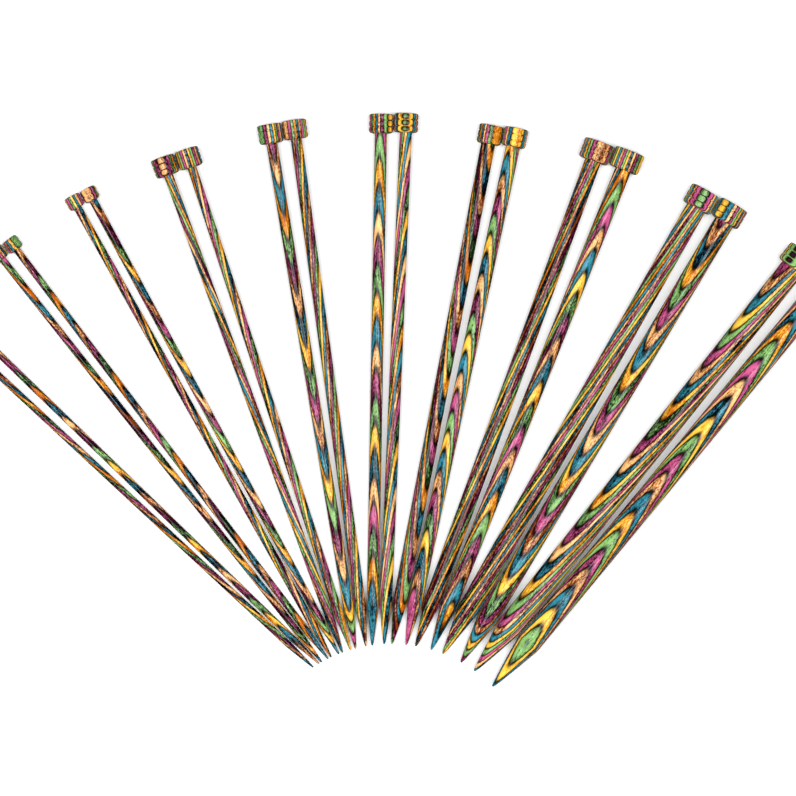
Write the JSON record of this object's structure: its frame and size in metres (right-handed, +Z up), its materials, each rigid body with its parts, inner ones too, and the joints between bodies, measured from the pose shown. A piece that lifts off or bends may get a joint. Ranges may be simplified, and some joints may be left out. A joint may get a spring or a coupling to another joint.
{
  "type": "straight knitting needle set",
  "caption": "Fan of straight single-pointed knitting needles in graded thicknesses, turned from brightly dyed laminated wood, each with a tapered point and a grooved end cap.",
  "frame": {"origin": "centre of the fan's footprint on the surface that the needles lie on", "axes": "+X across the fan from the thinnest pair to the thickest, +Y from the points towards the caps, +Z up"},
  "size_m": [0.4528, 0.282, 0.0171],
  "materials": {
    "shaft_01": "laminated birch dyed in repeating orange, blue, peach, purple and green plies, satin lacquer",
    "cap_01": "laminated birch dyed in repeating orange, blue, peach, purple and green plies, satin lacquer",
    "shaft_02": "laminated birch dyed in repeating orange, blue, peach, purple and green plies, satin lacquer",
    "cap_02": "laminated birch dyed in repeating orange, blue, peach, purple and green plies, satin lacquer",
    "shaft_03": "laminated birch dyed in repeating orange, blue, peach, purple and green plies, satin lacquer",
    "cap_03": "laminated birch dyed in repeating orange, blue, peach, purple and green plies, satin lacquer",
    "shaft_04": "laminated birch dyed in repeating orange, blue, peach, purple and green plies, satin lacquer",
    "cap_04": "laminated birch dyed in repeating orange, blue, peach, purple and green plies, satin lacquer",
    "shaft_05": "laminated birch dyed in repeating orange, blue, peach, purple and green plies, satin lacquer",
    "cap_05": "laminated birch dyed in repeating orange, blue, peach, purple and green plies, satin lacquer",
    "shaft_06": "laminated birch dyed in repeating orange, blue, peach, purple and green plies, satin lacquer",
    "cap_06": "laminated birch dyed in repeating orange, blue, peach, purple and green plies, satin lacquer",
    "shaft_07": "laminated birch dyed in repeating orange, blue, peach, purple and green plies, satin lacquer",
    "cap_07": "laminated birch dyed in repeating orange, blue, peach, purple and green plies, satin lacquer",
    "shaft_08": "laminated birch dyed in repeating orange, blue, peach, purple and green plies, satin lacquer",
    "cap_08": "laminated birch dyed in repeating orange, blue, peach, purple and green plies, satin lacquer",
    "shaft_09": "laminated birch dyed in repeating orange, blue, peach, purple and green plies, satin lacquer",
    "cap_09": "laminated birch dyed in repeating orange, blue, peach, purple and green plies, satin lacquer",
    "shaft_10": "laminated birch dyed in repeating orange, blue, peach, purple and green plies, satin lacquer",
    "cap_10": "laminated birch dyed in repeating orange, blue, peach, purple and green plies, satin lacquer",
    "shaft_11": "laminated birch dyed in repeating orange, blue, peach, purple and green plies, satin lacquer",
    "cap_11": "laminated birch dyed in repeating orange, blue, peach, purple and green plies, satin lacquer",
    "shaft_12": "laminated birch dyed in repeating orange, blue, peach, purple and green plies, satin lacquer",
    "cap_12": "laminated birch dyed in repeating orange, blue, peach, purple and green plies, satin lacquer",
    "shaft_13": "laminated birch dyed in repeating orange, blue, peach, purple and green plies, satin lacquer",
    "cap_13": "laminated birch dyed in repeating orange, blue, peach, purple and green plies, satin lacquer",
    "shaft_14": "laminated birch dyed in repeating orange, blue, peach, purple and green plies, satin lacquer",
    "cap_14": "laminated birch dyed in repeating orange, blue, peach, purple and green plies, satin lacquer",
    "shaft_15": "laminated birch dyed in repeating orange, blue, peach, purple and green plies, satin lacquer",
    "cap_15": "laminated birch dyed in repeating orange, blue, peach, purple and green plies, satin lacquer",
    "shaft_16": "laminated birch dyed in repeating orange, blue, peach, purple and green plies, satin lacquer",
    "cap_16": "laminated birch dyed in repeating orange, blue, peach, purple and green plies, satin lacquer",
    "shaft_17": "laminated birch dyed in repeating orange, blue, peach, purple and green plies, satin lacquer",
    "cap_17": "laminated birch dyed in repeating orange, blue, peach, purple and green plies, satin lacquer",
    "shaft_18": "laminated birch dyed in repeating orange, blue, peach, purple and green plies, satin lacquer",
    "cap_18": "laminated birch dyed in repeating orange, blue, peach, purple and green plies, satin lacquer",
    "shaft_19": "laminated birch dyed in repeating orange, blue, peach, purple and green plies, satin lacquer",
    "cap_19": "laminated birch dyed in repeating orange, blue, peach, purple and green plies, satin lacquer",
    "shaft_20": "laminated birch dyed in repeating orange, blue, peach, purple and green plies, satin lacquer",
    "cap_20": "laminated birch dyed in repeating orange, blue, peach, purple and green plies, satin lacquer"
  },
  "bodies": {
    "needle_01": {"shaft_01": "shaft_01", "cap_01": "cap_01"},
    "needle_02": {"shaft_02": "shaft_02", "cap_02": "cap_02"},
    "needle_03": {"shaft_03": "shaft_03", "cap_03": "cap_03"},
    "needle_04": {"shaft_04": "shaft_04", "cap_04": "cap_04"},
    "needle_05": {"shaft_05": "shaft_05", "cap_05": "cap_05"},
    "needle_06": {"shaft_06": "shaft_06", "cap_06": "cap_06"},
    "needle_07": {"shaft_07": "shaft_07", "cap_07": "cap_07"},
    "needle_08": {"shaft_08": "shaft_08", "cap_08": "cap_08"},
    "needle_09": {"shaft_09": "shaft_09", "cap_09": "cap_09"},
    "needle_10": {"shaft_10": "shaft_10", "cap_10": "cap_10"},
    "needle_11": {"shaft_11": "shaft_11", "cap_11": "cap_11"},
    "needle_12": {"shaft_12": "shaft_12", "cap_12": "cap_12"},
    "needle_13": {"shaft_13": "shaft_13", "cap_13": "cap_13"},
    "needle_14": {"shaft_14": "shaft_14", "cap_14": "cap_14"},
    "needle_15": {"shaft_15": "shaft_15", "cap_15": "cap_15"},
    "needle_16": {"shaft_16": "shaft_16", "cap_16": "cap_16"},
    "needle_17": {"shaft_17": "shaft_17", "cap_17": "cap_17"},
    "needle_18": {"shaft_18": "shaft_18", "cap_18": "cap_18"},
    "needle_19": {"shaft_19": "shaft_19", "cap_19": "cap_19"},
    "needle_20": {"shaft_20": "shaft_20", "cap_20": "cap_20"}
  },
  "joints": [
    {"name": "lift_01", "type": "slide", "parent": "needle_11", "child": "needle_01", "axis": [0, 0, 1], "range_m": [0, 0.08]},
    {"name": "lift_02", "type": "slide", "parent": "needle_11", "child": "needle_02", "axis": [0, 0, 1], "range_m": [0, 0.08]},
    {"name": "lift_03", "type": "slide", "parent": "needle_11", "child": "needle_03", "axis": [0, 0, 1], "range_m": [0, 0.08]},
    {"name": "lift_04", "type": "slide", "parent": "needle_11", "child": "needle_04", "axis": [0, 0, 1], "range_m": [0, 0.08]},
    {"name": "lift_05", "type": "slide", "parent": "needle_11", "child": "needle_05", "axis": [0, 0, 1], "range_m": [0, 0.08]},
    {"name": "lift_06", "type": "slide", "parent": "needle_11", "child": "needle_06", "axis": [0, 0, 1], "range_m": [0, 0.08]},
    {"name": "lift_07", "type": "slide", "parent": "needle_11", "child": "needle_07", "axis": [0, 0, 1], "range_m": [0, 0.08]},
    {"name": "lift_08", "type": "slide", "parent": "needle_11", "child": "needle_08", "axis": [0, 0, 1], "range_m": [0, 0.08]},
    {"name": "lift_09", "type": "slide", "parent": "needle_11", "child": "needle_09", "axis": [0, 0, 1], "range_m": [0, 0.08]},
    {"name": "lift_10", "type": "slide", "parent": "needle_11", "child": "needle_10", "axis": [0, 0, 1], "range_m": [0, 0.08]},
    {"name": "lift_12", "type": "slide", "parent": "needle_11", "child": "needle_12", "axis": [0, 0, 1], "range_m": [0, 0.08]},
    {"name": "lift_13", "type": "slide", "parent": "needle_11", "child": "needle_13", "axis": [0, 0, 1], "range_m": [0, 0.08]},
    {"name": "lift_14", "type": "slide", "parent": "needle_11", "child": "needle_14", "axis": [0, 0, 1], "range_m": [0, 0.08]},
    {"name": "lift_15", "type": "slide", "parent": "needle_11", "child": "needle_15", "axis": [0, 0, 1], "range_m": [0, 0.08]},
    {"name": "lift_16", "type": "slide", "parent": "needle_11", "child": "needle_16", "axis": [0, 0, 1], "range_m": [0, 0.08]},
    {"name": "lift_17", "type": "slide", "parent": "needle_11", "child": "needle_17", "axis": [0, 0, 1], "range_m": [0, 0.08]},
    {"name": "lift_18", "type": "slide", "parent": "needle_11", "child": "needle_18", "axis": [0, 0, 1], "range_m": [0, 0.08]},
    {"name": "lift_19", "type": "slide", "parent": "needle_11", "child": "needle_19", "axis": [0, 0, 1], "range_m": [0, 0.08]},
    {"name": "lift_20", "type": "slide", "parent": "needle_11", "child": "needle_20", "axis": [0, 0, 1], "range_m": [0, 0.08]}
  ]
}
